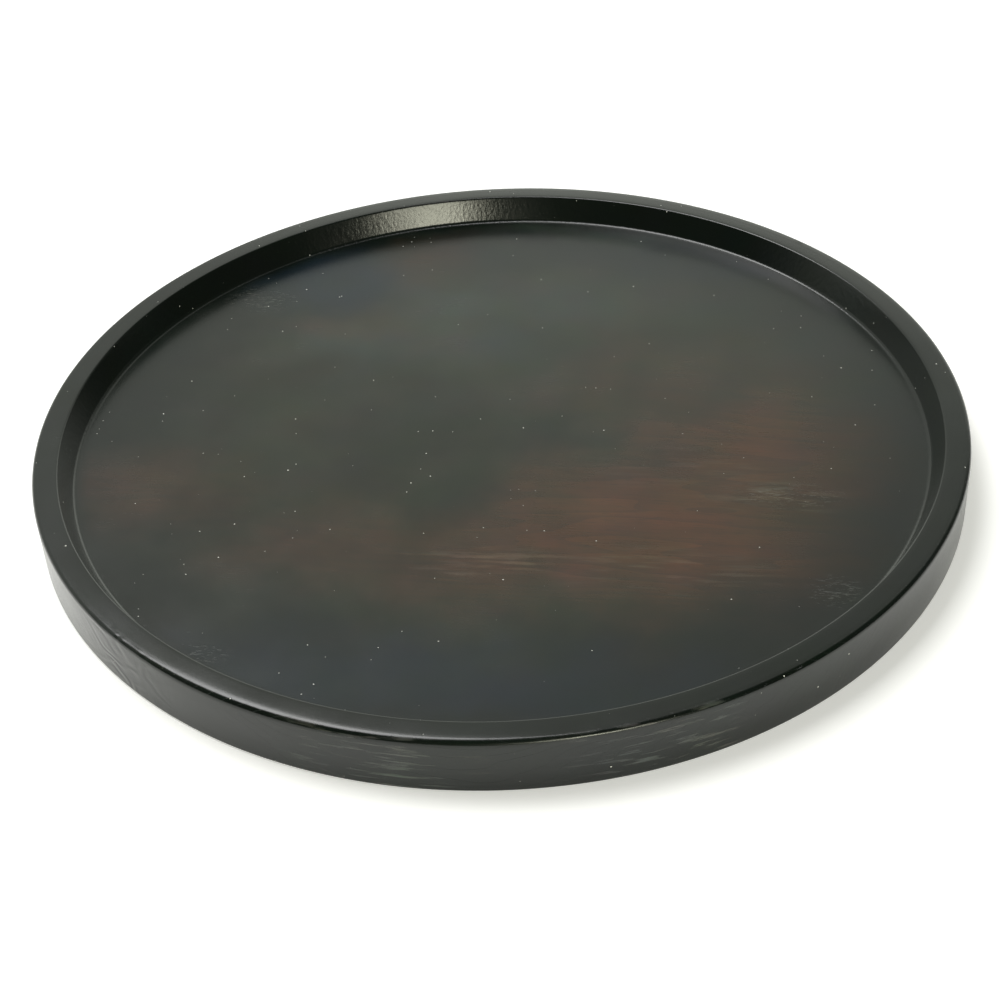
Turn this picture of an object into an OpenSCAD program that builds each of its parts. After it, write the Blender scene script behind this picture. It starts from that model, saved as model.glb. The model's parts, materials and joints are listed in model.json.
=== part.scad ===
// Round serving tray turned from a panel of edge-jointed boards.
// Millimetres. The origin is the centre of the resting face, +Z points up and
// the grain of every board runs along X. Board 1 is at the front (-Y).

/* [Tray] */
// Diameter over the outer wall
tray_d = 400; // [360:1:440]
// Height from the resting face to the top of the rim
tray_h = 25; // [24:0.1:30]
// Width of the flat ring on top of the rim, with its eased edges
rim_w = 10.7; // [9:0.1:14]
// Depth of the floor below the top of the rim
recess_h = 11.5; // [9:0.1:12]
// How far the sloping inner wall leans in between the rim and the floor
wall_lean = 4.9; // [3:0.1:7]

/* [Edges] */
// Round-over of the outer top edge
outer_edge_r = 2.4; // [1:0.1:3]
// Round-over of the inner top edge
inner_edge_r = 0.6; // [0.3:0.1:1]
// Round-over of the bottom edge
foot_edge_r = 1.2; // [0.6:0.1:2]
// Cove between the inner wall and the floor
cove_r = 2; // [1:0.1:3]

/* [Joints] */
// Thickness of the loose tongues
tongue_t = 4; // [3:0.1:5]
// Width of the loose tongues, half of it in each board
tongue_w = 14; // [12:0.5:18]
// Distance that each groove stops short of the outer wall, along the seam
groove_stop = 22; // [18:0.5:30]
// Room for glue around the tongue's edge
glue_gap = 0.3; // [0.1:0.05:0.5]

/* [Hidden] */
board_count = 8;
board_names = [for (i = [1:board_count]) str("board_", i)];
tongue_names = [for (i = [1:board_count - 1]) str("tongue_", i, "_", i + 1)];

lacquer = [0.17, 0.18, 0.165];
bare_wood = [0.76, 0.60, 0.40];

tray_r = tray_d / 2;
board_w = tray_d / board_count;
floor_z = tray_h - recess_h;
rim_inner_r = tray_r - rim_w;
floor_r = rim_inner_r - wall_lean;

// The inner wall's angle from vertical, and the centres of the arcs beside it
wall_angle = atan(wall_lean / recess_h);
corner_reach = tan((90 - wall_angle) / 2);
cove_x = floor_r - cove_r * corner_reach;
edge_x = rim_inner_r + inner_edge_r * corner_reach;
arc_steps = 6;

// How far a cutting block runs past the tray
past = 1;

$fn = 240;

function seam_y(i) = i * board_w - tray_r;
function groove_half(i) = sqrt(pow(tray_r, 2) - pow(seam_y(i), 2)) - groove_stop;

// Points along an arc, from one angle to another
function arc(x, z, r, from, to) = [
    for (k = [0:arc_steps])
        let (a = from + (to - from) * k / arc_steps)
            [x + r * cos(a), z + r * sin(a)]
];

// Half section of the tray, anticlockwise from the middle of the resting face
module tray_section() {
    polygon(concat(
        [[0, 0]],
        arc(tray_r - foot_edge_r, foot_edge_r, foot_edge_r, -90, 0),
        arc(tray_r - outer_edge_r, tray_h - outer_edge_r, outer_edge_r, 0, 90),
        arc(edge_x, tray_h - inner_edge_r, inner_edge_r, 90, 180 - wall_angle),
        arc(cove_x, floor_z + cove_r, cove_r, -wall_angle, -90),
        [[0, floor_z]]
    ));
}

// Flat strip with round ends, lying along the seam behind board i
module seam_strip(i, half_l, w) {
    translate([0, seam_y(i), (floor_z - tongue_t) / 2])
        linear_extrude(tongue_t) {
            translate([-(half_l - w / 2), -w / 2]) square([2 * half_l - w, w]);
            for (side = [-1, 1])
                translate([side * (half_l - w / 2), 0]) circle(w / 2);
        }
}

// Groove cut into both boards at the seam behind board i
module groove(i) {
    seam_strip(i, groove_half(i) + glue_gap, tongue_w + 2 * glue_gap);
}

// One board: its slice of the turned tray, grooved for the tongues it holds
module board(i) {
    color(lacquer)
        difference() {
            intersection() {
                rotate_extrude() tray_section();
                translate([-tray_r - past, seam_y(i - 1), -past])
                    cube([tray_d + 2 * past, board_w, tray_h + 2 * past]);
            }
            if (i > 1) groove(i - 1);
            if (i < board_count) groove(i);
        }
}

// One loose tongue, glued half into board i and half into the board behind it
module tongue(i) {
    color(bare_wood) seam_strip(i, groove_half(i), tongue_w);
}

for (i = [1:board_count])
    board(i);
for (i = [1:board_count - 1])
    tongue(i);
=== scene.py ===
# Round serving tray: edge-jointed boards turned to one form and lacquered nearly black.
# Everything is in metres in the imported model's frame: +X along the grain, board_1 at the front.
import functools
import json
import math

import bpy
from mathutils import Matrix, Vector


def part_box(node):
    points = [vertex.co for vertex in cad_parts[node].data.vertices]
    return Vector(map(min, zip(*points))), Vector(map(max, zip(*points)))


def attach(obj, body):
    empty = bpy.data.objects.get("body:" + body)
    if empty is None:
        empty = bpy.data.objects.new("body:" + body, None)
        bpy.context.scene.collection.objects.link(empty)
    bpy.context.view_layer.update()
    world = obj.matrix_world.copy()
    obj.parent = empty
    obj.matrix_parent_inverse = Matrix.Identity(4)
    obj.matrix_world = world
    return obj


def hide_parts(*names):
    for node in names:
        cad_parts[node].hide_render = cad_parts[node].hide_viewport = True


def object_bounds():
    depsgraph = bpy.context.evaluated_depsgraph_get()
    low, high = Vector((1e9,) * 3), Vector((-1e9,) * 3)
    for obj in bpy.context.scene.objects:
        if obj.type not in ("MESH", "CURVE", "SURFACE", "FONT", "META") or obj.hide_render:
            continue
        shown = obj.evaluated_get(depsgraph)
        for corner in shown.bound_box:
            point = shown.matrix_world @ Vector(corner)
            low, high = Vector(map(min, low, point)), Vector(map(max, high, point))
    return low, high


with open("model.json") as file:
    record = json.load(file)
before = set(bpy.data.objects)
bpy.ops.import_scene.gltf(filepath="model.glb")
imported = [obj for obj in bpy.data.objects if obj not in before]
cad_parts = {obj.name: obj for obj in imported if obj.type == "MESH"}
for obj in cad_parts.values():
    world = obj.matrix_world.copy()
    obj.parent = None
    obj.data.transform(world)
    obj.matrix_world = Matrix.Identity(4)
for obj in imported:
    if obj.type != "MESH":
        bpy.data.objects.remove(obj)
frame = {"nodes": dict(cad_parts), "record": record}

cadLow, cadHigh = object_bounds()
mm = 0.001
trayRadius = (cadHigh.x - cadLow.x) / 2
trayHeight = cadHigh.z
mounts = {m["name"]: m for m in frame["record"]["mounts"]}
floorHeight = mounts["serving_floor"]["pos_m"][2]
boardNames = sorted(n for n in frame["nodes"] if n.startswith("board_"))
tongueNames = sorted(n for n in frame["nodes"] if n.startswith("tongue_"))
boardWidth = 2 * trayRadius / len(boardNames)


def hexToLinear(code):
    # an sRGB hex colour as the linear RGBA that sockets take
    parts = [int(code[i:i + 2], 16) / 255 for i in (0, 2, 4)]
    return (*[c / 12.92 if c <= 0.04045 else ((c + 0.055) / 1.055) ** 2.4 for c in parts], 1.0)


def addNode(tree, kind, sockets=None, **settings):
    # a socket takes a plain value, another node's output, or a node: its first enabled output
    node = tree.nodes.new(kind)
    for name, value in settings.items():
        setattr(node, name, value)
    for key, value in (sockets or {}).items():
        socket = node.inputs[key] if isinstance(key, int) else next(
            s for s in node.inputs if s.enabled and s.name == key)
        if isinstance(value, bpy.types.Node):
            value = next(s for s in value.outputs if s.enabled)
        if isinstance(value, bpy.types.NodeSocket):
            tree.links.new(value, socket)
        else:
            socket.default_value = value
    return node


grain = {  # millimetres, in the scale of the real wood
    "ringSpacing": 3.4,       # growth rings of a fast-grown open-pored timber
    "ringWander": 26.0,
    "driftSize": (160, 26, 26),
    "pithDepth": 70.0,        # how far under the board its growth rings are centred
    "pithAside": 35,          # and at most how far to its front or back
    "boardShift": 900,        # moves each board's pattern away from its neighbours'
    "poreSize": (8.0, 0.42, 0.42),  # real pores are about 0.2 wide; drawn double so that they show
    "poreCut": (0.62, 0.72),  # noise above this is an open pore
    "fibreSize": (38.0, 0.9, 0.9),
    "noiseRoughness": 0.55,
}

lacquer = {
    "thick": "08100a",        # full coats: nearly black with a green cast
    "buffed": "202418",       # the middle of the floor, rubbed by use
    "hazed": "2d342d",        # painted sheen: grey-green where the floor mirrors the light
    "thin": "4f2c0e",         # the red-brown wood glows through where coats are thin; also a painted brown halo round the dark reflection spot
    "teal": "0e1c22",         # painted reflection: blue-green patches, darkest in one spot at the back left
    "scuffed": "62665f",
    "tan": "6b6151",          # fibres laid bare by wear
    "worn": "72736d",         # grain that catches grey polish on the outer wall
    "nib": "e4e4dc",
    "ior": 1.5,
    "roughness": 0.22,
    "smoother": 0.03,         # roughness taken off or added from place to place
    "rougher": 0.04,
    "cloudCut": (0.3, 0.7),   # the range of the soft noises that counts
    "leastRubbed": 0.6,       # where the cloth pressed least, beside 1 where it pressed most
    "leastStreak": 0.7,
    "earlyPart": 0.2,         # each ring is early wood up to here, then darkens to lateTone
    "lateTone": 0.7,
    "patchSoft": 0.75,        # a patch fades over this part of its size, inward and outward
    "filledPore": 0.45,       # how strongly this and the next three cover what is under them
    "tanFibre": 0.3,
    "scuff": 0.45,
    "wornGrain": 0.35,
    "tintLow": (0.8, 0.88, 0.8),
    "tintHigh": (1.2, 1.12, 1.2),
    "nibFalloff": 1.5,        # most nibs are faint, a few catch the light
}

marks = {  # millimetres
    "cloudSize": 38.0,
    "cloudRelief": 0.04,
    "warp": 46.0,             # how far the patches' edges wander
    "rubbedFrom": 110,        # the cloth's reach, out from the middle of the floor
    "rubbedTo": 178,
    "floorEdge": 22,          # the floor's marks fade from here, in from the outer wall
    "floorFade": 6,
    "innerWallEnd": 12,
    "innerWallFade": 2,
    "outerSkin": (2.5, 1),    # the outer wall's marks fade in between these depths
    "topside": (1, 2),        # heights
    "underside": (0.2, 0.6),
    "tanSize": (20, 2.4, 2.4),
    "tanCut": (0.48, 0.66),
    "scratchSize": (3, 0.6, 1),
    "wornSize": (24, 9, 1.5),
    "fineCut": (0.54, 0.68),  # for scratches and worn grain
    "swirlSize": (26, 26, 16),
    "swirls": 60.0,           # how closely the knot's contour lines lie
    "tintSize": (34, 26, 26),
    "nibSpacing": 5.4,
    "nibSize": 0.38,          # real dust nibs are 0.1 to 0.3; drawn larger so that they show
    "brushSize": (1.4, 1.4, 3),
    "brushElsewhere": 0.1,    # brush marks on the rim and outer wall, beside the inner wall's
    "turningPitch": 2.4,      # marks of the gouge, left on the underside only
}

rougherBy = {
    "thin": 0.10,
    "pore": 0.02,
    "scuff": 0.2,
    "worn": 0.15,
    "underneath": 0.18,
}

reliefOf = {  # millimetres
    "pore": -0.0015,
    "fibre": 0.0014,
    "brushed": 0.09,
    "worn": 0.02,
    "nib": 0.08,
    "sunk": 0.04,
    "knot": 0.05,
    "gouge": 0.03,
}

bare = {
    "earlyWood": "c79f72",
    "lateWood": "a6784c",
    "fleck": "8c5f3a",
    "fleckCut": (0.35, 0.75),
    "mostFleck": 0.5,
    "pore": "5f3d24",
    "poreRelief": -0.12,      # millimetres
    "fibreRelief": 0.05,
    "smoothest": 0.55,
    "roughest": 0.75,
}

# Where the lacquer differs, and where reflections are painted into its colour: centre x, y and half lengths
# x, y in millimetres, then strength
thinPatchesAndPaintedHalo = {
    "main": (72, -64, 58, 38, 1.0),
    "rightArm": (112, -8, 40, 48, 0.7),
    "upperRight": (84, 38, 50, 34, 0.35),
    "frontArm": (-8, -84, 84, 26, 0.55),
    "left": (-134, -50, 46, 24, 0.35),
    # these two are a painted brown halo, part of the painted reflection in the dark spot
    "besideSpot": (-52, 140, 20, 24, 0.25),
    "belowSpot": (-86, 84, 24, 10, 0.25),
}
# painted sheen: a grey-green lightening of the floor, mostly at the back
paintedSheenPatches = {
    "back": (-2, 104, 60, 24, 0.8),
    "backLeft": (-46, 76, 56, 26, 0.8),
    "right": (60, 60, 90, 60, 0.25),
    "farBack": (50, 172, 90, 9, 0.5),
}
# painted reflections: blue-green where the floor mirrors the room, and a dark spot at the back left
paintedReflectionPatches = {
    "spot": (-96, 120, 36, 25, 1.0),
    "front": (-10, -156, 120, 20, 0.8),
    "back": (60, 152, 90, 16, 0.3),
}
bareFibres = {
    "front": (12, -86, 32, 6, 1.0),
    "frontLeft": (-9, -95, 14, 3, 0.8),
    "frontRight": (76, -88, 36, 12, 0.8),
    "right": (120, -38, 24, 9, 0.9),
    "middle": (80, -20, 40, 14, 0.35),
}
scuffs = {
    "right": (122, -36, 20, 7, 0.7),
    "frontRight": (144, -96, 9, 8, 1.0),
    "backLeft": (-129, 103, 14, 9, 0.9),
    "frontLeft": (-96, -150, 10, 6, 0.6),
}
knotFigure = {  # swirls that show through the coats on the outer wall
    "frontLeft": (-124, -152, 20, 20, 1.0),
}
wornGrain = {  # on the outer wall
    "frontLeft": (-20, -198, 30, 12, 1.0),
    "frontRight": (84, -182, 38, 14, 1.0),
}


def newMaterial(name):
    mat = bpy.data.materials.new(name)
    mat.use_nodes = True
    tree = mat.node_tree
    tree.nodes.clear()
    node = functools.partial(addNode, tree)
    shader = node("ShaderNodeBsdfPrincipled")
    node("ShaderNodeOutputMaterial", {"Surface": shader})
    return mat, shader, node


def joinShader(mat, shader, colour, roughness, normal):
    for socket, source in (("Base Color", colour), ("Roughness", roughness), ("Normal", normal)):
        mat.node_tree.links.new(next(s for s in source.outputs if s.enabled), shader.inputs[socket])


def patchMask(node, place, patches):
    # ellipses with soft edges, each its own strength inside and 0 outside
    total, soft = None, lacquer["patchSoft"]
    for x, y, halfX, halfY, strength in patches.values():
        away = node("ShaderNodeVectorMath", {0: place, 1: (x, y, 0)}, operation="SUBTRACT")
        scaled = node("ShaderNodeVectorMath", {0: away, 1: (1 / halfX, 1 / halfY, 0)},
                      operation="MULTIPLY")
        far = node("ShaderNodeVectorMath", {0: scaled}, operation="LENGTH")
        mask = node("ShaderNodeMapRange", {"Value": far, "From Min": 1 - soft, "From Max": 1 + soft,
                                           "To Min": strength, "To Max": 0},
                    interpolation_type="SMOOTHSTEP")
        total = node("ShaderNodeMath", {0: total, 1: mask}, operation="MAXIMUM") if total else mask
    return total


def stretchedNoise(node, place, size, detail):
    # noise whose cells have this size along each axis, in millimetres
    cells = node("ShaderNodeVectorMath", {0: place, 1: tuple(1 / s for s in size)},
                 operation="MULTIPLY")
    return node("ShaderNodeTexNoise", {"Vector": cells, "Scale": 1.0, "Detail": detail,
                                       "Roughness": grain["noiseRoughness"]})


def crestMask(node, place, size, cut, patches, face):
    # streaks where a stretched noise peaks, inside the patches and on one face of the tray
    noise = stretchedNoise(node, place, size, 3)
    crest = node("ShaderNodeMapRange", {"Value": noise, "From Min": cut[0], "From Max": cut[1]})
    mask = node("ShaderNodeMath", {0: patchMask(node, place, patches), 1: crest}, operation="MULTIPLY")
    return node("ShaderNodeMath", {0: mask, 1: face}, operation="MULTIPLY")


def coat(node, base, mask, colour):
    # one colour over another where the mask says
    return node("ShaderNodeMix", {"Factor": mask, "A": base, "B": hexToLinear(colour)}, data_type="RGBA")


def woodFigure(node):
    # growth rings, fibres and pores of each board, from object coordinates in millimetres
    place = node("ShaderNodeVectorMath", {0: node("ShaderNodeTexCoord").outputs["Object"], "Scale": 1 / mm},
                 operation="SCALE")
    _, y, z = node("ShaderNodeSeparateXYZ", {0: place}).outputs
    fromFront = node("ShaderNodeMath", {0: y, 1: trayRadius / mm}, operation="ADD")
    boards = node("ShaderNodeMath", {0: fromFront, 1: boardWidth / mm}, operation="DIVIDE")
    number = node("ShaderNodeMath", {0: boards}, operation="FLOOR")
    own = node("ShaderNodeTexWhiteNoise", {"W": number}, noise_dimensions="1D")
    shift = node("ShaderNodeVectorMath", {0: own.outputs["Color"], "Scale": grain["boardShift"]},
                 operation="SCALE")
    inBoard = node("ShaderNodeVectorMath", {0: place, 1: shift}, operation="ADD")

    # rings round a pith that lies under each board, off to one side
    drift = stretchedNoise(node, inBoard, grain["driftSize"], 2)
    sideways = node("ShaderNodeMapRange", {"Value": own.outputs["Value"], "To Min": -grain["pithAside"],
                                           "To Max": grain["pithAside"]})
    across = node("ShaderNodeMath", {0: y, 1: sideways}, operation="ADD")
    above = node("ShaderNodeMath", {0: z, 1: grain["pithDepth"]}, operation="ADD")
    toPith = node("ShaderNodeCombineXYZ", {0: across, 1: above})
    ringRadius = node("ShaderNodeVectorMath", {0: toPith}, operation="LENGTH")
    wandering = node("ShaderNodeMath", {0: drift, 1: grain["ringWander"], 2: ringRadius},
                     operation="MULTIPLY_ADD")
    rings = node("ShaderNodeMath", {0: wandering, 1: grain["ringSpacing"]}, operation="DIVIDE")
    ring = node("ShaderNodeMath", {0: rings}, operation="FRACT")

    fibre = stretchedNoise(node, inBoard, grain["fibreSize"], 3)
    poreNoise = stretchedNoise(node, inBoard, grain["poreSize"], 1)
    solid, hollow = grain["poreCut"]
    pore = node("ShaderNodeMapRange", {"Value": poreNoise, "From Min": solid, "From Max": hollow})
    return place, ring, fibre, pore


def lacqueredWood():
    # Open-pored hardwood, turned, stained and brushed with several coats of black lacquer.
    # The eye sees a satin black with a green cast, soft reflections, faint grain that runs one
    # way, and places where the coats were rubbed thin and the red-brown wood glows through.
    # On the floor, reflections are painted into the colour too: a grey-green sheen, blue-green
    # patches, and a dark spot with a brown halo.
    mat, shader, node = newMaterial("brushedBlackLacquerOnOpenPoredWood")
    place, ring, fibre, pore = woodFigure(node)
    cloud = stretchedNoise(node, place, (marks["cloudSize"],) * 3, 4)
    centred = node("ShaderNodeVectorMath", {0: cloud.outputs["Color"], 1: (0.5, 0.5, 0.5)},
                   operation="SUBTRACT")
    drift = node("ShaderNodeVectorMath", {0: centred, 1: (marks["warp"], marks["warp"], 0), 2: place},
                 operation="MULTIPLY_ADD")
    thick, buffed = lacquer["thick"], lacquer["buffed"]
    low, high = lacquer["cloudCut"]

    # which face of the tray this is
    flatPlace = node("ShaderNodeVectorMath", {0: place, 1: (1, 1, 0)}, operation="MULTIPLY")
    fromAxis = node("ShaderNodeVectorMath", {0: flatPlace}, operation="LENGTH")
    height = node("ShaderNodeSeparateXYZ", {0: place}).outputs[2]
    outerWall = trayRadius / mm
    floorEdge = outerWall - marks["floorEdge"]
    inFloor = node("ShaderNodeMapRange", {"Value": fromAxis, "From Min": floorEdge,
                                          "From Max": floorEdge + marks["floorFade"],
                                          "To Min": 1, "To Max": 0})
    topLow, topHigh = marks["topside"]
    onTop = node("ShaderNodeMapRange", {"Value": height, "From Min": topLow, "From Max": topHigh})
    onFloor = node("ShaderNodeMath", {0: inFloor, 1: onTop}, operation="MULTIPLY")
    underLow, underHigh = marks["underside"]
    underneath = node("ShaderNodeMapRange", {"Value": height, "From Min": underLow, "From Max": underHigh,
                                             "To Min": 1, "To Max": 0})
    flat = node("ShaderNodeMath", {0: inFloor, 1: underneath}, operation="MAXIMUM")
    onWall = node("ShaderNodeMath", {0: 1.0, 1: flat}, operation="SUBTRACT")
    skinIn, skinOut = marks["outerSkin"]
    outside = node("ShaderNodeMapRange", {"Value": fromAxis, "From Min": outerWall - skinIn,
                                          "From Max": outerWall - skinOut})

    # the coats are thickest beside the wall, where a cloth doesn't reach
    driftRadius = node("ShaderNodeVectorMath", {0: drift, 1: (1, 1, 0)}, operation="MULTIPLY")
    driftRadius = node("ShaderNodeVectorMath", {0: driftRadius}, operation="LENGTH")
    rubbed = node("ShaderNodeMapRange", {"Value": driftRadius, "From Min": marks["rubbedFrom"],
                                         "From Max": marks["rubbedTo"], "To Min": 1, "To Max": 0},
                  interpolation_type="SMOOTHSTEP")
    uneven = node("ShaderNodeMapRange", {"Value": cloud, "From Min": low, "From Max": high,
                                         "To Min": lacquer["leastRubbed"], "To Max": 1.0})
    rubbed = node("ShaderNodeMath", {0: rubbed, 1: uneven}, operation="MULTIPLY")
    rubbed = node("ShaderNodeMath", {0: rubbed, 1: onFloor}, operation="MULTIPLY")
    base = node("ShaderNodeMix", {"Factor": rubbed, "A": hexToLinear(thick), "B": hexToLinear(buffed)},
                data_type="RGBA")
    # painted reflections laid into the floor's colour: a grey-green sheen, then blue-green patches and the
    # dark spot
    for patches, colour in ((paintedSheenPatches, "hazed"), (paintedReflectionPatches, "teal")):
        mask = node("ShaderNodeMath", {0: patchMask(node, drift, patches), 1: onFloor},
                    operation="MULTIPLY")
        base = coat(node, base, mask, lacquer[colour])

    # rubbed-thin places, and the painted brown halo of reflection round the dark spot, follow the fibres,
    # so their edges are streaky along the grain
    streak = node("ShaderNodeMapRange", {"Value": fibre, "From Min": low, "From Max": high,
                                         "To Min": lacquer["leastStreak"], "To Max": 1.0})
    thin = node("ShaderNodeMath", {0: patchMask(node, drift, thinPatchesAndPaintedHalo), 1: streak},
                operation="MULTIPLY")
    for limit in (uneven, onFloor):
        thin = node("ShaderNodeMath", {0: thin, 1: limit}, operation="MULTIPLY")
    ringTone = node("ShaderNodeMapRange", {"Value": ring, "From Min": lacquer["earlyPart"],
                                           "To Min": 1.0, "To Max": lacquer["lateTone"]})
    thinWood = node("ShaderNodeVectorMath", {0: hexToLinear(lacquer["thin"])[:3], "Scale": ringTone},
                    operation="SCALE")
    base = node("ShaderNodeMix", {"Factor": thin, "A": base, "B": thinWood}, data_type="RGBA")

    # filled pores, tan streaks where fibres are bare, scatters of fine scratches, and on the
    # outer wall raised grain that is rubbed grey
    tan = crestMask(node, place, marks["tanSize"], marks["tanCut"], bareFibres, onFloor)
    scuff = crestMask(node, place, marks["scratchSize"], marks["fineCut"], scuffs, onFloor)
    worn = crestMask(node, place, marks["wornSize"], marks["fineCut"], wornGrain, outside)
    for mask, strength, colour in ((pore, "filledPore", "thick"), (tan, "tanFibre", "tan"),
                                   (scuff, "scuff", "scuffed"), (worn, "wornGrain", "worn")):
        faint = node("ShaderNodeMath", {0: mask, 1: lacquer[strength]}, operation="MULTIPLY")
        base = coat(node, base, faint, lacquer[colour])

    # a knot's swirls: contour lines of a smooth noise
    swirls = stretchedNoise(node, place, marks["swirlSize"], 1)
    swirls = node("ShaderNodeMath", {0: swirls, 1: marks["swirls"]}, operation="MULTIPLY")
    knot = node("ShaderNodeMath", {0: swirls}, operation="SINE")
    for limit in (patchMask(node, place, knotFigure), outside):
        knot = node("ShaderNodeMath", {0: knot, 1: limit}, operation="MULTIPLY")

    # the gouge's rings under one coat on the underside, their ridges rubbed
    turns = node("ShaderNodeMath", {0: fromAxis, 1: 2 * math.pi / marks["turningPitch"]},
                 operation="MULTIPLY")
    gouge = node("ShaderNodeMath", {0: turns}, operation="SINE")
    gouge = node("ShaderNodeMath", {0: gouge, 1: underneath}, operation="MULTIPLY")
    ridge = node("ShaderNodeMath", {0: gouge, 1: uneven}, operation="MULTIPLY")
    base = coat(node, base, ridge, buffed)

    # old lacquer shifts slightly in hue from place to place
    hue = stretchedNoise(node, place, marks["tintSize"], 3)
    tint = node("ShaderNodeMapRange", {"Vector": hue.outputs["Color"],
                                       "From Min": (low, low, low), "From Max": (high, high, high),
                                       "To Min": lacquer["tintLow"], "To Max": lacquer["tintHigh"]},
                data_type="FLOAT_VECTOR")
    base = node("ShaderNodeVectorMath", {0: base, 1: tint}, operation="MULTIPLY")

    # dust nibs dried into the last coat
    cells = node("ShaderNodeTexVoronoi", {"Vector": place, "Scale": 1 / marks["nibSpacing"]})
    nibSize = node("ShaderNodeMath",
                   {0: cells.outputs["Color"], 1: marks["nibSize"] / marks["nibSpacing"]},
                   operation="MULTIPLY")
    nib = node("ShaderNodeMath", {0: cells.outputs["Distance"], 1: nibSize}, operation="LESS_THAN")
    _, shine, _ = node("ShaderNodeSeparateColor", {0: cells.outputs["Color"]}).outputs
    shine = node("ShaderNodeMath", {0: shine, 1: lacquer["nibFalloff"]}, operation="POWER")
    shine = node("ShaderNodeMath", {0: shine, 1: nib}, operation="MULTIPLY")
    base = coat(node, base, shine, lacquer["nib"])

    # the marks that don't lie flush: brush marks run up the walls, rings show on the outer wall
    brush = stretchedNoise(node, place, marks["brushSize"], 3)
    wallEnd = outerWall - marks["innerWallEnd"]
    onInnerWall = node("ShaderNodeMapRange", {"Value": fromAxis, "From Min": wallEnd,
                                              "From Max": wallEnd + marks["innerWallFade"],
                                              "To Min": 1, "To Max": marks["brushElsewhere"]})
    brushed = node("ShaderNodeMath", {0: brush, 1: onWall}, operation="MULTIPLY")
    brushed = node("ShaderNodeMath", {0: brushed, 1: onInnerWall}, operation="MULTIPLY")
    sunk = node("ShaderNodeMath", {0: ring, 1: outside}, operation="MULTIPLY")

    masks = {"thin": thin, "pore": pore, "scuff": scuff, "worn": worn, "underneath": underneath,
             "fibre": fibre, "brushed": brushed, "nib": nib, "sunk": sunk, "knot": knot, "gouge": gouge}
    rough = node("ShaderNodeMapRange", {"Value": cloud, "From Min": low, "From Max": high,
                                        "To Min": lacquer["roughness"] - lacquer["smoother"],
                                        "To Max": lacquer["roughness"] + lacquer["rougher"]})
    for name, more in rougherBy.items():
        rough = node("ShaderNodeMath", {0: masks[name], 1: more, 2: rough}, operation="MULTIPLY_ADD")
    relief = node("ShaderNodeMath", {0: cloud, 1: marks["cloudRelief"]}, operation="MULTIPLY")
    for name, depth in reliefOf.items():
        relief = node("ShaderNodeMath", {0: masks[name], 1: depth, 2: relief}, operation="MULTIPLY_ADD")
    bump = node("ShaderNodeBump", {"Strength": 1.0, "Distance": mm, "Height": relief})
    shader.inputs["IOR"].default_value = lacquer["ior"]
    joinShader(mat, shader, base, rough, bump)
    return mat


def bareWood():
    # The same timber planed and glued, never lacquered: pale tan with darker late wood and
    # open pores, matt. It shows only where two boards meet and on the loose tongues.
    mat, shader, node = newMaterial("planedHardwoodUnfinished")
    _, ring, fibre, pore = woodFigure(node)
    low, high = bare["fleckCut"]
    tone = coat(node, hexToLinear(bare["earlyWood"]), ring, bare["lateWood"])
    fleck = node("ShaderNodeMapRange", {"Value": fibre, "From Min": low, "From Max": high,
                                        "To Max": bare["mostFleck"]})
    tone = coat(node, tone, fleck, bare["fleck"])
    tone = coat(node, tone, pore, bare["pore"])
    relief = node("ShaderNodeMath", {0: pore, 1: bare["poreRelief"]}, operation="MULTIPLY")
    relief = node("ShaderNodeMath", {0: fibre, 1: bare["fibreRelief"], 2: relief},
                  operation="MULTIPLY_ADD")
    bump = node("ShaderNodeBump", {"Strength": 1.0, "Distance": mm, "Height": relief})
    rough = node("ShaderNodeMapRange", {"Value": fibre, "To Min": bare["smoothest"],
                                        "To Max": bare["roughest"]})
    joinShader(mat, shader, tone, rough, bump)
    return mat


lacquerMaterial = lacqueredWood()
woodMaterial = bareWood()
print("materials made")


turning = {
    "rimWidth": 10.7 * mm,
    "wallLean": 4.9 * mm,
    "outerEdge": 2.4 * mm,
    "innerEdge": 1.0 * mm,
    "footEdge": 1.2 * mm,
    "cove": 2.0 * mm,
    "heavySide": 259,         # the outer edge is rounded most here, degrees round from +X
    "heavyEdge": 1.15,        # its radius there and elsewhere, as parts of outerEdge
    "lightEdge": 0.8,
    "heavyFrom": 0.88,        # cosines of the angles between which one becomes the other
    "heavyFull": 0.97,
    "crown": 0.15 * mm,       # the rim's top falls this much from its inner to its outer edge
    "shoulder": 0.4 * mm,     # straight runs get a point this far from each arc, so they shade flat
    "arcSteps": 8,
    "turnSteps": 600,
    "crownSteps": (0.2, 0.4, 0.6, 0.8),
    "mergeGap": 0.01 * mm,
    "sharpAngle": 40,         # degrees
    "wobble": 0.12 * mm,      # hand sanding leaves the rim this far from a true circle
    "wobbleScale": 3.0,       # noise cells in a tray radius
    "wobbleLift": 20.0,       # tray radii that the noise moves for each metre of height
    "wobbleFrom": -15 * mm,   # it grows from none here to all below, from the outer wall
    "wobbleFull": -10 * mm,
    "glueGap": 0.3 * mm,      # room for glue round each tongue's edge
    "grooveSteps": 32,
    "wallSkin": 1.5 * mm,     # anything deeper than these is bare wood
    "floorSkin": 0.1 * mm,
    "footSkin": 0.3 * mm,
}


def arcPoints(cx, cz, radius, start, end, before=True, after=True):
    # the arc's points, and one more just past either end along the tangent
    steps = turning["arcSteps"]
    angles = [start + (end - start) * i / steps for i in range(steps + 1)]
    points = [Vector((cx + radius * math.cos(a), 0, cz + radius * math.sin(a))) for a in angles]
    step = math.copysign(turning["shoulder"], end - start)
    if before:
        points.insert(0, points[0] - step * Vector((-math.sin(start), 0, math.cos(start))))
    if after:
        points.append(points[-1] + step * Vector((-math.sin(end), 0, math.cos(end))))
    return points


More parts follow.
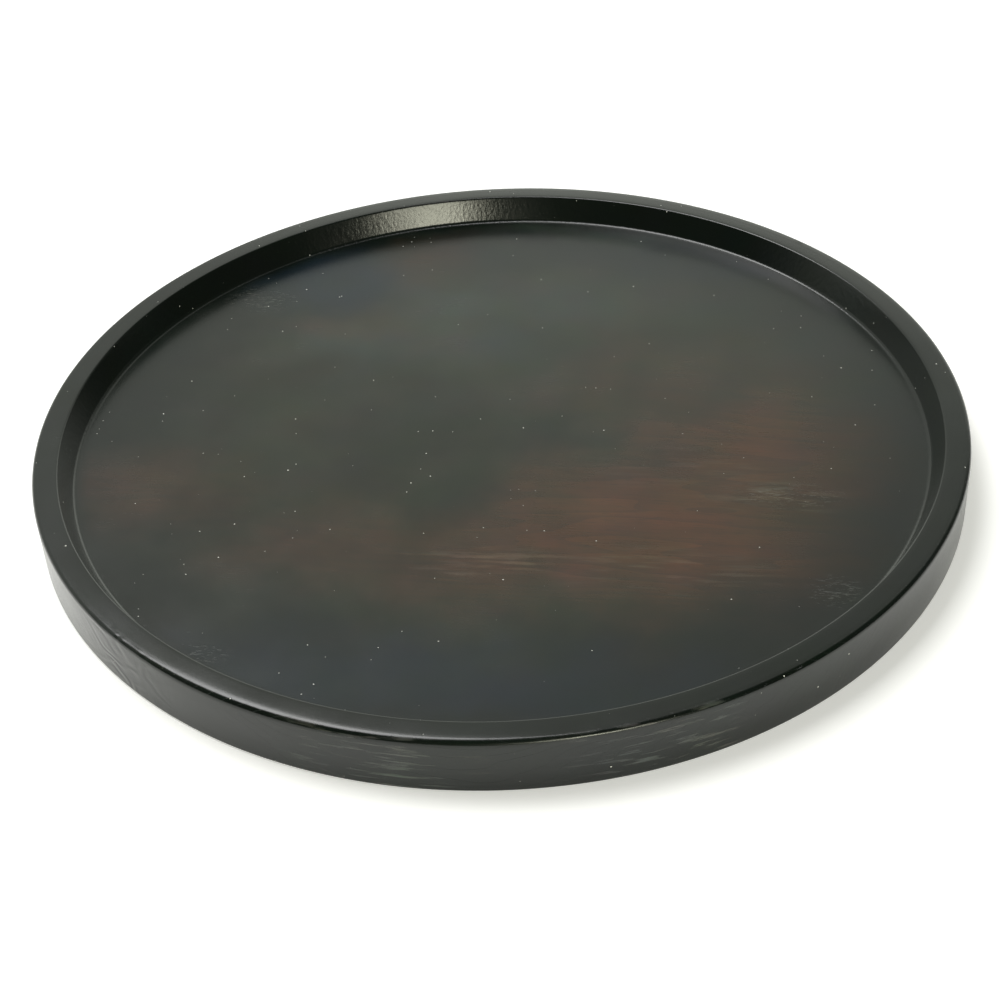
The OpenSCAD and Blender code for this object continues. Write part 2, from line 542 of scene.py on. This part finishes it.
def halfSection():
    # outline from the underside round the rim to the floor, anticlockwise
    r, h, f = trayRadius, trayHeight, floorHeight
    foot, outer, inner, cove = (turning[k] for k in ("footEdge", "outerEdge", "innerEdge", "cove"))
    wallTop = r - turning["rimWidth"]
    lean = math.atan2(turning["wallLean"], h - f)
    reach = math.tan((math.pi / 2 - lean) / 2)
    quarter = math.pi / 2
    innerX = wallTop + inner * reach
    outerX = r - outer
    # the crown: a shallow arc that leaves the inner edge level
    fall = 2 * turning["crown"] / (outerX - innerX)
    crown = [Vector((outerX + (innerX - outerX) * t, 0, h - turning["crown"] * (1 - t) ** 2))
             for t in turning["crownSteps"]]
    outerTop = h - turning["crown"] - outer
    return [
        Vector((r - 2 * turning["rimWidth"], 0, 0)),
        *arcPoints(r - foot, foot, foot, -quarter, 0),
        *arcPoints(outerX, outerTop, outer, 0, quarter - fall, after=False),
        *crown,
        *arcPoints(innerX, h - inner, inner, quarter, math.pi - lean, before=False),
        *arcPoints(wallTop - turning["wallLean"] - cove * reach, f + cove, cove, -lean, -quarter),
    ]


def newTree(name, inputs):
    tree = bpy.data.node_groups.new(name, "GeometryNodeTree")
    tree.interface.new_socket("Geometry", in_out="INPUT", socket_type="NodeSocketGeometry")
    for label, kind in inputs.items():
        tree.interface.new_socket(label, in_out="INPUT", socket_type=kind)
    tree.interface.new_socket("Geometry", in_out="OUTPUT", socket_type="NodeSocketGeometry")
    return tree, functools.partial(addNode, tree)


def sectionPoint(node, given, index):
    position = node("GeometryNodeInputPosition")
    return node("GeometryNodeSampleIndex",
                {"Geometry": given["Geometry"], "Value": position, "Index": index},
                data_type="FLOAT_VECTOR")


def turnedSkin(node, given):
    # a grid with one row of vertices for each step round the axis, wrapped round it
    columns = node("ShaderNodeMath", {0: given["Turn steps"], 1: 1.0}, operation="ADD")
    grid = node("GeometryNodeMeshGrid", {"Vertices X": columns, "Vertices Y": given["Section points"]})
    index = node("GeometryNodeInputIndex")
    onSection = node("ShaderNodeMath", {0: index, 1: given["Section points"]}, operation="MODULO")
    rows = node("ShaderNodeMath", {0: index, 1: given["Section points"]}, operation="DIVIDE")
    step = node("ShaderNodeMath", {0: rows}, operation="FLOOR")
    turns = node("ShaderNodeMath", {0: step, 1: given["Turn steps"]}, operation="DIVIDE")
    angle = node("ShaderNodeMath", {0: turns, 1: 2 * math.pi}, operation="MULTIPLY")
    cosine = node("ShaderNodeMath", {0: angle}, operation="COSINE")
    sine = node("ShaderNodeMath", {0: angle}, operation="SINE")
    outward = node("ShaderNodeCombineXYZ", {0: cosine, 1: sine})

    # the outer top edge was sanded by hand, more in one place: its arc grows from the corner
    corner = node("ShaderNodeCombineXYZ", {0: given["Tray radius"], 2: given["Tray height"]})
    fromCorner = node("ShaderNodeVectorMath", {0: sectionPoint(node, given, onSection), 1: corner},
                      operation="SUBTRACT")
    away = node("ShaderNodeVectorMath", {0: fromCorner}, operation="LENGTH")
    onEdge = node("ShaderNodeMath", {0: away, 1: given["Edge reach"]}, operation="LESS_THAN")
    facing = node("ShaderNodeVectorMath", {0: outward, 1: given["Heavy side"]}, operation="DOT_PRODUCT")
    grown = node("ShaderNodeMapRange", {"Value": facing, "From Min": turning["heavyFrom"],
                                        "From Max": turning["heavyFull"],
                                        "To Min": given["Light edge"], "To Max": given["Heavy edge"]},
                 interpolation_type="SMOOTHSTEP")
    growth = node("ShaderNodeMix", {"Factor": onEdge, "A": 1.0, "B": grown})
    moved = node("ShaderNodeVectorMath", {0: fromCorner, "Scale": growth}, operation="SCALE")
    point = node("ShaderNodeSeparateXYZ",
                 {0: node("ShaderNodeVectorMath", {0: corner, 1: moved}, operation="ADD")})

    # the rim wanders a little from a true circle, the floor and underside stay flat
    lift = node("ShaderNodeMath", {0: point.outputs[2], 1: turning["wobbleLift"]},
                operation="MULTIPLY")
    roundPlace = node("ShaderNodeCombineXYZ", {0: cosine, 1: sine, 2: lift})
    wavy = node("ShaderNodeTexNoise", {"Vector": roundPlace, "Scale": turning["wobbleScale"],
                                       "Detail": 2.0})
    wave = node("ShaderNodeMapRange", {"Value": wavy, "To Min": -1.0, "To Max": 1.0})
    wave = node("ShaderNodeMath", {0: wave, 1: given["Wobble"]}, operation="MULTIPLY")
    fromRim = node("ShaderNodeMath", {0: point.outputs[0], 1: given["Tray radius"]},
                   operation="SUBTRACT")
    atRim = node("ShaderNodeMapRange", {"Value": fromRim, "From Min": turning["wobbleFrom"],
                                        "From Max": turning["wobbleFull"]})
    wave = node("ShaderNodeMath", {0: wave, 1: atRim}, operation="MULTIPLY")
    reach = node("ShaderNodeMath", {0: point.outputs[0], 1: wave}, operation="ADD")
    flat = node("ShaderNodeVectorMath", {0: outward, "Scale": reach}, operation="SCALE")
    up = node("ShaderNodeCombineXYZ", {2: point.outputs[2]})
    turned = node("ShaderNodeVectorMath", {0: flat, 1: up}, operation="ADD")
    return node("GeometryNodeSetPosition", {"Geometry": grid, "Position": turned})


def turnedSolid(node, given):
    # one flat face closes the floor and one the underside
    parts = node("GeometryNodeJoinGeometry")
    link = parts.id_data.links.new
    link(turnedSkin(node, given).outputs[0], parts.inputs[0])
    lastPoint = node("ShaderNodeMath", {0: given["Section points"], 1: 1.0}, operation="SUBTRACT")
    for index in (0, lastPoint):
        radius = node("ShaderNodeSeparateXYZ", {0: sectionPoint(node, given, index)})
        disc = node("GeometryNodeMeshCircle", {"Vertices": given["Turn steps"], "Radius": radius},
                    fill_type="NGON")
        if index == 0:
            disc = node("GeometryNodeFlipFaces", {"Mesh": disc})
        else:
            up = node("ShaderNodeCombineXYZ", {2: given["Floor height"]})
            disc = node("GeometryNodeTransform", {"Geometry": disc, "Translation": up})
        link(disc.outputs[0], parts.inputs[0])
    return node("GeometryNodeMergeByDistance", {"Geometry": parts, "Distance": turning["mergeGap"]})


def grooveStrip(node, given, seam, length):
    # flat strip with round ends that lies along a seam, as the groove cutter leaves it
    radius = node("ShaderNodeMath", {0: given["Groove width"], 1: 0.5}, operation="MULTIPLY")
    post = node("GeometryNodeMeshCylinder",
                {"Vertices": turning["grooveSteps"], "Radius": radius,
                 "Depth": given["Groove thickness"]})
    half = node("ShaderNodeMath", {0: length, 1: 0.5}, operation="MULTIPLY")
    right = node("ShaderNodeMath", {0: half, 1: radius}, operation="SUBTRACT")
    left = node("ShaderNodeMath", {0: right, 1: -1.0}, operation="MULTIPLY")
    ends = node("GeometryNodeJoinGeometry")
    for x in (left, right):
        spot = node("ShaderNodeCombineXYZ", {0: x, 1: seam, 2: given["Groove height"]})
        moved = node("GeometryNodeTransform", {"Geometry": post, "Translation": spot})
        ends.id_data.links.new(moved.outputs[0], ends.inputs[0])
    return node("GeometryNodeConvexHull", {0: ends})


def turnedBoardTree():
    count, size, finish = "NodeSocketInt", "NodeSocketFloat", "NodeSocketMaterial"
    tree, node = newTree("turned board", {
        "Turn steps": count, "Section points": count, "Tray radius": size, "Tray height": size,
        "Floor height": size, "Front seam": size, "Back seam": size, "Front groove": size,
        "Back groove": size, "Groove width": size, "Groove thickness": size, "Groove height": size,
        "Edge reach": size, "Heavy side": "NodeSocketVector", "Heavy edge": size, "Light edge": size,
        "Wobble": size, "Lacquer": finish, "Bare wood": finish})
    given = node("NodeGroupInput").outputs
    link = tree.links.new

    # keep the part between this board's two seams, with a block that clears the tray all round
    seamSum = node("ShaderNodeMath", {0: given["Front seam"], 1: given["Back seam"]}, operation="ADD")
    middle = node("ShaderNodeMath", {0: seamSum, 1: 0.5}, operation="MULTIPLY")
    width = node("ShaderNodeMath", {0: given["Back seam"], 1: given["Front seam"]},
                 operation="SUBTRACT")
    across = node("ShaderNodeMath", {0: given["Tray radius"], 1: 2.1}, operation="MULTIPLY")
    tall = node("ShaderNodeMath", {0: given["Tray height"], 1: 3.0}, operation="MULTIPLY")
    blockSize = node("ShaderNodeCombineXYZ", {0: across, 1: width, 2: tall})
    block = node("GeometryNodeMeshCube", {"Size": blockSize})
    toSeams = node("ShaderNodeCombineXYZ", {1: middle})
    block = node("GeometryNodeTransform", {"Geometry": block, "Translation": toSeams})
    board = node("GeometryNodeMeshBoolean", operation="INTERSECT", solver="EXACT")
    link(turnedSolid(node, given).outputs[0], board.inputs["Mesh 2"])
    link(block.outputs[0], board.inputs["Mesh 2"])

    # rout the stopped grooves for the loose tongues
    grooves = node("GeometryNodeJoinGeometry")
    for seam, length in (("Front seam", "Front groove"), ("Back seam", "Back groove")):
        strip = grooveStrip(node, given, given[seam], given[length])
        grooved = node("FunctionNodeCompare", {"A": given[length], "B": 0.0}, operation="GREATER_THAN")
        shown = node("GeometryNodeSwitch", {"Switch": grooved, "True": strip}, input_type="GEOMETRY")
        link(shown.outputs[0], grooves.inputs[0])
    routed = node("GeometryNodeMeshBoolean", {0: board}, operation="DIFFERENCE", solver="EXACT")
    link(grooves.outputs[0], routed.inputs["Mesh 2"])

    # seam faces and grooves are bare wood: they lie inside the section, away from the skin
    x, y, z = node("ShaderNodeSeparateXYZ", {0: node("GeometryNodeInputPosition")}).outputs
    flatPlace = node("ShaderNodeCombineXYZ", {0: x, 1: y})
    fromAxis = node("ShaderNodeVectorMath", {0: flatPlace}, operation="LENGTH")
    wallSkin = node("ShaderNodeMath", {0: given["Tray radius"], 1: turning["wallSkin"]},
                    operation="SUBTRACT")
    floorSkin = node("ShaderNodeMath", {0: given["Floor height"], 1: turning["floorSkin"]},
                     operation="SUBTRACT")
    inside = node("ShaderNodeMath", {0: fromAxis, 1: wallSkin}, operation="LESS_THAN")
    for limit, side in ((turning["footSkin"], "GREATER_THAN"), (floorSkin, "LESS_THAN")):
        check = node("ShaderNodeMath", {0: z, 1: limit}, operation=side)
        inside = node("ShaderNodeMath", {0: inside, 1: check}, operation="MULTIPLY")

    real = node("GeometryNodeRealizeInstances", {0: routed})
    painted = node("GeometryNodeSetMaterial", {"Geometry": real, "Material": given["Lacquer"]})
    glued = node("GeometryNodeSetMaterial",
                 {"Geometry": painted, "Selection": inside, "Material": given["Bare wood"]})
    node("NodeGroupOutput", {0: glued})
    return tree


def runTree(name, base, tree, values):
    # base mesh through the tree, as a plain mesh object with no modifier
    seed = bpy.data.objects.new(name + "Seed", base)
    bpy.context.scene.collection.objects.link(seed)
    modifier = seed.modifiers.new(name, "NODES")
    modifier.node_group = tree
    sockets = {i.name: i.identifier for i in tree.interface.items_tree if i.in_out == "INPUT"}
    for label, value in values.items():
        modifier[sockets[label]] = value
    shown = seed.evaluated_get(bpy.context.evaluated_depsgraph_get())
    mesh = bpy.data.meshes.new_from_object(shown)
    bpy.data.objects.remove(seed)
    mesh.name = name
    piece = bpy.data.objects.new(name, mesh)
    bpy.context.scene.collection.objects.link(piece)
    return piece


def makeBoards():
    outline = halfSection()
    section = bpy.data.meshes.new("half section")
    section.from_pydata(outline, [(i, i + 1) for i in range(len(outline) - 1)], [])
    tree = turnedBoardTree()
    gap = turning["glueGap"]
    tongueBoxes = [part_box(n) for n in tongueNames]
    tongueLow, tongueHigh = tongueBoxes[0]
    grooves = [0.0, *[high.x - low.x + 2 * gap for low, high in tongueBoxes], 0.0]
    # the outermost seams are past the rim, so that nothing is cut there
    seams = [i * boardWidth - trayRadius for i in range(len(boardNames) + 1)]
    seams[0] -= boardWidth
    seams[-1] += boardWidth
    heavySide = math.radians(turning["heavySide"])
    boards = []
    for i, name in enumerate(boardNames):
        board = runTree(name.replace("_", "") + "Turned", section, tree, {
            "Turn steps": turning["turnSteps"], "Section points": len(outline),
            "Tray radius": trayRadius, "Tray height": trayHeight, "Floor height": floorHeight,
            "Front seam": seams[i], "Back seam": seams[i + 1],
            "Front groove": grooves[i], "Back groove": grooves[i + 1],
            "Groove width": tongueHigh.y - tongueLow.y + 2 * gap,
            "Groove thickness": tongueHigh.z - tongueLow.z,
            "Groove height": (tongueHigh.z + tongueLow.z) / 2,
            "Edge reach": turning["outerEdge"] + 2 * turning["shoulder"],
            "Heavy side": (math.cos(heavySide), math.sin(heavySide), 0.0),
            "Heavy edge": turning["heavyEdge"], "Light edge": turning["lightEdge"],
            "Wobble": turning["wobble"], "Lacquer": lacquerMaterial, "Bare wood": woodMaterial})
        board.data.shade_smooth()
        board.data.set_sharp_from_angle(angle=math.radians(turning["sharpAngle"]))
        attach(board, "root")
        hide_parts(name)
        boards.append(board)
    return boards


boards = makeBoards()
print("boards turned, faces:", [len(b.data.polygons) for b in boards])

for name in tongueNames:
    materials = frame["nodes"][name].data.materials
    materials.clear()
    materials.append(woodMaterial)
print("tongues given bare wood")


studio = {
    "tableSize": 8.0,         # metres
    "tableGap": 0.05 * mm,    # so that the resting face and the table don't coincide
    "tableColour": "f4f4f2",
    "tableGlow": 0.45,        # a product table of white acrylic, lit a little from below
    "tableRoughness": 0.9,
    "tableSpecular": 0.2,
    "viewTurn": 9,            # the grain lies this many degrees off the camera's left-right line
    "skyBright": 0.75,
    "skyDark": 0.07,
    "skyColour": "fbfff5",
    "skySide": 115,           # the white wall stands in this direction, degrees from the camera's right
    "skyFade": (0.15, 0.72),  # it fades in between these cosines of the angle to it
    "footSide": 55,           # its foot is brighter towards here
    "footFade": (0.64, 0.72),
    "footTop": (0.42, 0.49),  # sines of the elevations between which the foot ends
    "footExtra": 1.2,
    "keyAt": (140, 66),       # degrees round from the camera's right, then degrees up
    "keyDistance": 2.2,
    "keySize": (1.3, 1.3),
    "keyWatts": 41,
    "windowAt": (-74, 17),
    "windowDistance": 2.0,
    "windowHeight": 0.36,
    "paneWidth": 0.4,         # a bright pane, and a wider dimmer one round it
    "glowWidth": 0.85,
    "windowWatts": 8.5,
    "windowColour": "fcfce4",
}
viewTurn = math.radians(studio["viewTurn"])


def fromView(x, y, z=0.0):
    # a point given as the camera sees it (x right, y away) in the tray's own frame
    return Matrix.Rotation(viewTurn, 3, "Z") @ Vector((x, y, z))


def toSide(degrees, elevation=0.0):
    # a unit direction: degrees round from the camera's right, then degrees up
    side, up = math.radians(degrees), math.radians(elevation)
    return fromView(math.cos(side) * math.cos(up), math.sin(side) * math.cos(up), math.sin(up))


def makeTable():
    mesh = bpy.data.meshes.new("tabletop")
    half = studio["tableSize"] / 2
    z = -studio["tableGap"]
    corners = [(-half, -half, z), (half, -half, z), (half, half, z), (-half, half, z)]
    mesh.from_pydata(corners, [], [(0, 1, 2, 3)])
    table = bpy.data.objects.new("tabletop", mesh)
    bpy.context.scene.collection.objects.link(table)
    mat, shader, _ = newMaterial("mattWhiteAcrylic")
    shader.inputs["Base Color"].default_value = hexToLinear(studio["tableColour"])
    shader.inputs["Roughness"].default_value = studio["tableRoughness"]
    shader.inputs["Specular IOR Level"].default_value = studio["tableSpecular"]
    shader.inputs["Emission Color"].default_value = hexToLinear(studio["tableColour"])
    shader.inputs["Emission Strength"].default_value = studio["tableGlow"]
    mesh.materials.append(mat)


def makeWorld():
    # a white wall at the back and left, a dark room at the front and right
    world = bpy.data.worlds.new("studio")
    bpy.context.scene.world = world
    world.use_nodes = True
    world.node_tree.nodes.clear()
    node = functools.partial(addNode, world.node_tree)
    direction = node("ShaderNodeTexCoord").outputs["Generated"]
    along = node("ShaderNodeVectorMath", {0: direction, 1: toSide(studio["skySide"])},
                 operation="DOT_PRODUCT")
    low, high = studio["skyFade"]
    wall = node("ShaderNodeMapRange", {"Value": along, "From Min": low, "From Max": high,
                                       "To Min": studio["skyDark"], "To Max": studio["skyBright"]},
                interpolation_type="SMOOTHSTEP")
    up = node("ShaderNodeSeparateXYZ", {0: direction}).outputs[2]
    low, high = studio["footTop"]
    foot = node("ShaderNodeMapRange", {"Value": up, "From Min": low, "From Max": high,
                                       "To Min": studio["footExtra"], "To Max": 0},
                interpolation_type="SMOOTHSTEP")
    towardsFoot = node("ShaderNodeVectorMath", {0: direction, 1: toSide(studio["footSide"])},
                       operation="DOT_PRODUCT")
    low, high = studio["footFade"]
    atFoot = node("ShaderNodeMapRange", {"Value": towardsFoot, "From Min": low, "From Max": high})
    foot = node("ShaderNodeMath", {0: foot, 1: atFoot}, operation="MULTIPLY")
    wall = node("ShaderNodeMath", {0: foot, 1: wall, 2: wall}, operation="MULTIPLY_ADD")
    lit = node("ShaderNodeBackground", {"Color": hexToLinear(studio["skyColour"]), "Strength": wall})
    plain = node("ShaderNodeBackground", {"Color": (1, 1, 1, 1)})
    seen = node("ShaderNodeLightPath").outputs["Is Camera Ray"]
    sky = node("ShaderNodeMixShader", {0: seen, 1: lit, 2: plain})
    node("ShaderNodeOutputWorld", {"Surface": sky})


def addLight(name, place, size, watts, colour="ffffff"):
    light = bpy.data.lights.new(name, "AREA")
    light.shape, light.energy = "RECTANGLE", watts
    light.size, light.size_y = size
    light.color = hexToLinear(colour)[:3]
    lamp = bpy.data.objects.new(name, light)
    lamp.location = place
    middle = Vector((0, 0, floorHeight))
    lamp.rotation_euler = (middle - place).to_track_quat("-Z", "Y").to_euler()
    bpy.context.scene.collection.objects.link(lamp)


makeTable()
makeWorld()
addLight("key softbox", studio["keyDistance"] * toSide(*studio["keyAt"]), studio["keySize"],
         studio["keyWatts"])
for name, width in (("window pane", "paneWidth"), ("window glow", "glowWidth")):
    addLight(name, studio["windowDistance"] * toSide(*studio["windowAt"]),
             (studio[width], studio["windowHeight"]), studio["windowWatts"], studio["windowColour"])
print("studio lit")


camera = {  # degrees, and millimetres for the lens
    "distance": 4.1207 * trayRadius,
    "elevation": 35.25,
    "focal": 68.5,
    "sensor": 36,
    "pan": 0.101,
    "tilt": 2.657,
    "roll": -3.215,
}


def makeCamera():
    # stands in front of the rim's middle, then is panned, tilted and rolled a little about itself
    target = Vector((0, 0, trayHeight))
    place = target + camera["distance"] * toSide(-90, camera["elevation"])
    forward = (target - place).normalized()
    right = fromView(1, 0)
    straight = Matrix((right, forward.cross(right), forward))
    pan, tilt, roll = (math.radians(camera[k]) for k in ("pan", "tilt", "roll"))
    turn = Matrix.Rotation(roll, 3, "Z") @ Matrix.Rotation(pan, 3, "Y") @ Matrix.Rotation(tilt, 3, "X")
    axes = turn @ straight
    cam = bpy.data.objects.new("camera", bpy.data.cameras.new("camera"))
    cam.data.lens = camera["focal"]
    cam.data.sensor_width = camera["sensor"]
    columns = Matrix((axes[0], -axes[1], -axes[2])).transposed()
    cam.matrix_world = Matrix.Translation(place) @ columns.to_4x4()
    bpy.context.scene.collection.objects.link(cam)
    bpy.context.scene.camera = cam


makeCamera()
bpy.context.scene.view_settings.view_transform = "Standard"
print("camera set")
